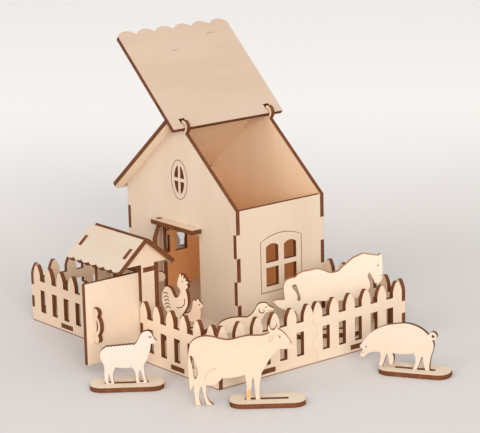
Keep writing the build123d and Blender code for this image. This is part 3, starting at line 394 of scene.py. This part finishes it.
# Painted bounce light on one house wall's inner face, by height, and on the roof panel by the way along
# the ridge too
def paintedHouseBounce(n, name):
    place = n.place()
    isRoof = name == house["roof"]
    height = n.dot(place, (0.0, 0.0, 1.0))
    high = house["paintedUnderRoof"] if isRoof else house["high"]
    tint = n.mix(n.step(height, *house["changeOver"]), house["low"], high)
    if isRoof:
        along = n.math("SUBTRACT", n.dot(place, (0.0, 1.0, 0.0)), house["middle"][1])
        outside = n.step(n.math("ABSOLUTE", along), *house["ends"])
        tint = n.mix(outside, tint, house["paintedEave"])
    return tint


# Material for one plate, laid out from the plate's own plane
def plywood(name, obj, order):
    shape = plateShape(obj)
    usual = {**plates["usual"], **(plates["bases"] if name.endswith("_base") else {})}
    values = {**usual, **plates.get(name, {})}
    along = np.cross(shape["through"], shape["level"]) if values["upright"] else shape["level"]
    material = bpy.data.materials.new("plywood_" + name)
    material.use_nodes = True
    tree = material.node_tree
    n = Nodes(tree)
    shader = tree.nodes["Principled BSDF"]

    space = n.add("ShaderNodeGroup", node_tree=groups["space"])
    space.inputs["Along"].default_value = tuple(along)
    space.inputs["Through"].default_value = tuple(shape["through"])
    space.inputs["Middle"].default_value = float(shape["middle"])
    space.inputs["Seed"].default_value = birch["seed"] * order

    veneer = n.add("ShaderNodeGroup", node_tree=groups["veneer"])
    for label in ("Figure", "Fibres", "Flecks"):
        veneer.inputs[label].default_value = values[label.lower()]
    half = float(shape["half"])
    char = n.add("ShaderNodeGroup", node_tree=groups["char"])
    char.inputs["Half"].default_value = half
    linkAll(tree, (
        (space.outputs["Place"], veneer.inputs["Place"]),
        (space.outputs["Place"], char.inputs["Place"]),
        (space.outputs["Depth"], char.inputs["Depth"]),
    ))

    isFace = n.step(space.outputs["Facing"], *birch["facing"])
    skin = [half - depth for depth in birch["skin"]]
    onSkin = n.step(n.math("ABSOLUTE", space.outputs["Depth"]), *skin)
    bevel = n.add("ShaderNodeBevel", {"Radius": birch["rim"]}, samples=6)
    geometry = n.add("ShaderNodeNewGeometry")
    turned = n.dot(bevel.outputs[0], geometry.outputs["True Normal"])
    rim = n.step(turned, *birch["turned"], 1.0, 0.0)

    face = n.mix(n.math("MULTIPLY", rim, birch["rimDepth"]), veneer.outputs["Color"], birch["scorch"])
    if name in smudges:
        scorched = n.math("MULTIPLY", burntLines(n, smudges[name]), birch["smudgeDepth"])
        face = n.mix(scorched, face, birch["smudge"])
    if name in burnt:
        scored = n.math("MULTIPLY", burntLines(n, burnt[name]), birch["scoreDepth"])
        face = n.mix(scored, face, birch["score"])
    face = n.mix(n.math("SUBTRACT", 1.0, onSkin), face, birch["score"])
    # painted bounce light, multiplied onto the inner faces of the house walls and roof panel
    if name in house["walls"]:
        inwards = 1.0 if np.dot(house["middle"], shape["through"]) > shape["middle"] else -1.0
        isInner = n.step(n.math("MULTIPLY", space.outputs["Depth"], inwards), 0.0, birch["inner"])
        face = n.mix(isInner, face, n.mix(1.0, face, paintedHouseBounce(n, name), blend="MULTIPLY"))
    # scorch and painted contact shade: fence faces darken to char colour at the foot, where they meet the
    # floor
    if name.startswith("fence"):
        height = n.dot(n.place(), (0.0, 0.0, 1.0))
        foot = n.step(height, *birch["foot"], birch["footShadeDepth"], 0.0)
        face = n.mix(foot, face, birch["char"])
    # face tone: the plate's own wood tone together with painted light and shade for how light falls on
    # that plate
    face = n.mix(1.0, face, values["toneAndLight"], blend="MULTIPLY")
    edge = n.mix(1.0, char.outputs["Color"], values["edge"], blend="MULTIPLY")
    colour = n.mix(isFace, edge, face)
    rough = n.math("MULTIPLY", isFace, birch["faceRough"] - birch["edgeRough"])
    rough = n.math("ADD", rough, birch["edgeRough"])
    height = n.add("ShaderNodeMix", {0: isFace, 2: char.outputs["Height"], 3: veneer.outputs["Height"]})
    bump = n.add("ShaderNodeBump", {
        "Strength": birch["bumpStrength"], "Distance": birch["bumpHeight"], "Height": height.outputs[0],
    })
    linkAll(tree, (
        (colour, shader.inputs["Base Color"]),
        (rough, shader.inputs["Roughness"]),
        (bump.outputs[0], shader.inputs["Normal"]),
    ))
    shader.inputs["Specular IOR Level"].default_value = birch["specular"]
    obj.data.materials.clear()
    obj.data.materials.append(material)


for order, name in enumerate(sorted(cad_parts)):
    plywood(name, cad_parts[name], order)
print("plywood laid on", len(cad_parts), "plates")


floorValues = {
    "radius": 9.0,
    "hole": 0.0001,                   # radius of the innermost ring, which one face closes
    "rings": 40,
    "sides": 96,
    "near": (0.590, 0.560, 0.548),    # the paper under the farm, and beyond it: painted shade near the farm and painted light far off
    "far": (0.905, 0.880, 0.862),
    "farFrom": 1.05,                  # m from the farm, away from the camera
    "rough": 0.55,
    "specular": 0.2,
}


# Unit vector; azimuth runs from -Y towards +X, elevation up from the floor
def towards(azimuth, elevation):
    a, e = math.radians(azimuth), math.radians(elevation)
    return Vector((math.sin(a) * math.cos(e), -math.cos(a) * math.cos(e), math.sin(e)))


# Flat disc: radius grows with the square of the ring number, angle with the side number
def floorDisc():
    rings, sides = floorValues["rings"], floorValues["sides"]
    turn = np.arange(sides) * 2 * math.pi / sides
    r, a = np.meshgrid(np.linspace(0, 1, rings) ** 2, turn, indexing="ij")
    r = r * floorValues["radius"] + floorValues["hole"]
    points = np.stack([r * np.cos(a), r * np.sin(a), np.zeros_like(r)], axis=-1).reshape(-1, 3)
    i, j = np.meshgrid(np.arange(rings - 1), np.arange(sides), indexing="ij")
    k = (j + 1) % sides
    quads = np.stack([i * sides + j, (i + 1) * sides + j, (i + 1) * sides + k, i * sides + k], axis=-1)
    mesh = bpy.data.meshes.new("studio_floor")
    mesh.from_pydata(points.tolist(), [], quads.reshape(-1, 4).tolist() + [list(range(sides))])
    floor = bpy.data.objects.new("studio_floor", mesh)
    bpy.context.collection.objects.link(floor)
    material = bpy.data.materials.new("studio_paper")
    material.use_nodes = True
    n = Nodes(material.node_tree)
    # painted light on the floor: darker near the farm, lighter further away from the camera
    away = n.dot(n.place(), tuple(-towards(camera["azimuth"], 0.0)))
    colour = n.mix(n.step(away, 0.0, floorValues["farFrom"]), floorValues["near"], floorValues["far"])
    shader = material.node_tree.nodes["Principled BSDF"]
    material.node_tree.links.new(colour, shader.inputs["Base Color"])
    shader.inputs["Roughness"].default_value = floorValues["rough"]
    shader.inputs["Specular IOR Level"].default_value = floorValues["specular"]
    mesh.materials.append(material)


floorDisc()


light = {
    "aim": (0.0, 0.0, 0.06),
    "sky": (1.0, 0.988, 0.975),
    "skyStrength": 0.80,
    "key": {"azimuth": 60.0, "elevation": 20.0, "distance": 5.0, "size": 3.0, "power": 225.0,
            "colour": (1.0, 0.975, 0.945)},
    "fill": {"azimuth": 5.0, "elevation": 30.0, "distance": 4.0, "size": 2.5, "power": 42.0,
             "colour": (1.0, 0.98, 0.97)},
}


def softbox(name, values):
    lamp = bpy.data.lights.new(name, "AREA")
    lamp.shape = "DISK"
    lamp.size = values["size"]
    lamp.energy = values["power"]
    lamp.color = values["colour"]
    box = bpy.data.objects.new(name, lamp)
    way = towards(values["azimuth"], values["elevation"])
    box.location = way * values["distance"] + Vector(light["aim"])
    box.rotation_euler = way.to_track_quat("Z", "Y").to_euler()
    bpy.context.collection.objects.link(box)


def studioLight():
    world = bpy.data.worlds.new("studio")
    bpy.context.scene.world = world
    world.use_nodes = True
    sky = world.node_tree.nodes["Background"]
    sky.inputs["Color"].default_value = (*light["sky"], 1)
    sky.inputs["Strength"].default_value = light["skyStrength"]
    for name in ("key", "fill"):
        softbox(name + "_softbox", light[name])
    bpy.context.scene.view_settings.view_transform = "Standard"


studioLight()


def photoCamera():
    lens = bpy.data.cameras.new("photo_camera")
    lens.sensor_fit = "HORIZONTAL"
    lens.sensor_width = camera["sensor"]
    lens.lens = camera["focal"] * camera["sensor"]
    lens.clip_start, lens.clip_end = camera["clip"]
    holder = bpy.data.objects.new("photo_camera", lens)
    back = towards(camera["azimuth"], camera["elevation"])
    a, roll = math.radians(camera["azimuth"]), math.radians(camera["roll"])
    right = Vector((math.cos(a), math.sin(a), 0))
    up = back.cross(right)
    rolledRight = right * math.cos(roll) + up * math.sin(roll)
    rolledUp = up * math.cos(roll) - right * math.sin(roll)
    turn = Matrix((rolledRight, rolledUp, back)).transposed()
    holder.matrix_world = Matrix.Translation(camera["place"]) @ turn.to_4x4()
    bpy.context.collection.objects.link(holder)
    bpy.context.scene.camera = holder


photoCamera()
print("floor, light and camera set")
